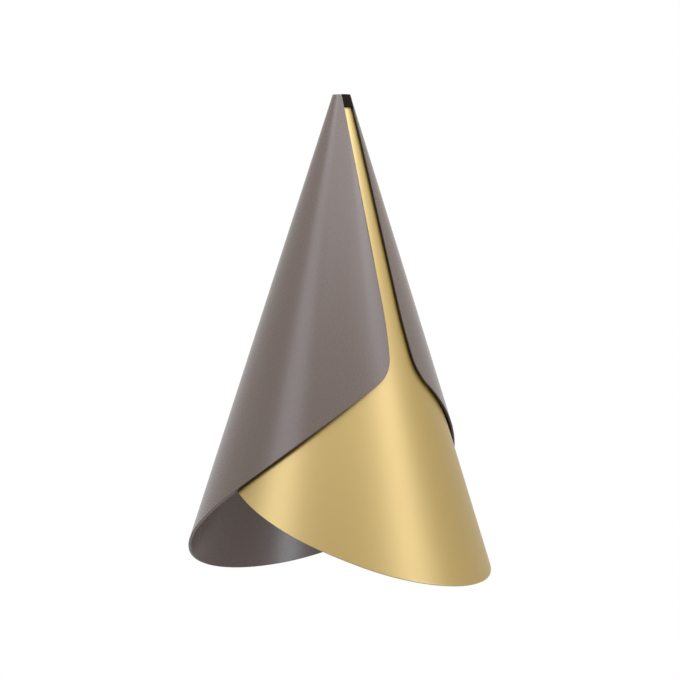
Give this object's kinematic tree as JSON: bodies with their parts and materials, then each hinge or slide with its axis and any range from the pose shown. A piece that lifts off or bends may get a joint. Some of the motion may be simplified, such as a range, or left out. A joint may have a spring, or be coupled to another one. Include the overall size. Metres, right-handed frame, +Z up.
{
  "type": "pendant lampshade",
  "caption": "Pendant lampshade of rolled sheet cones nested back to back, with open slots and slanted hems, hung by a cord bush in the nose.",
  "frame": {"origin": "centre of the cord bore at the top of the nose", "axes": "+Z up along the cones' axis and the cord bore, the outer sheet's slot faces -Y, +X to the right seen from the slot"},
  "size_m": [0.1635, 0.1898, 0.2947],
  "materials": {
    "umber_powder_coat": "satin",
    "satin_brass": "satin",
    "black_moulding": "matte"
  },
  "bodies": {
    "root": {"outer_shade": "umber_powder_coat", "inner_shade": "satin_brass", "cord_bush": "black_moulding"}
  },
  "joints": []
}
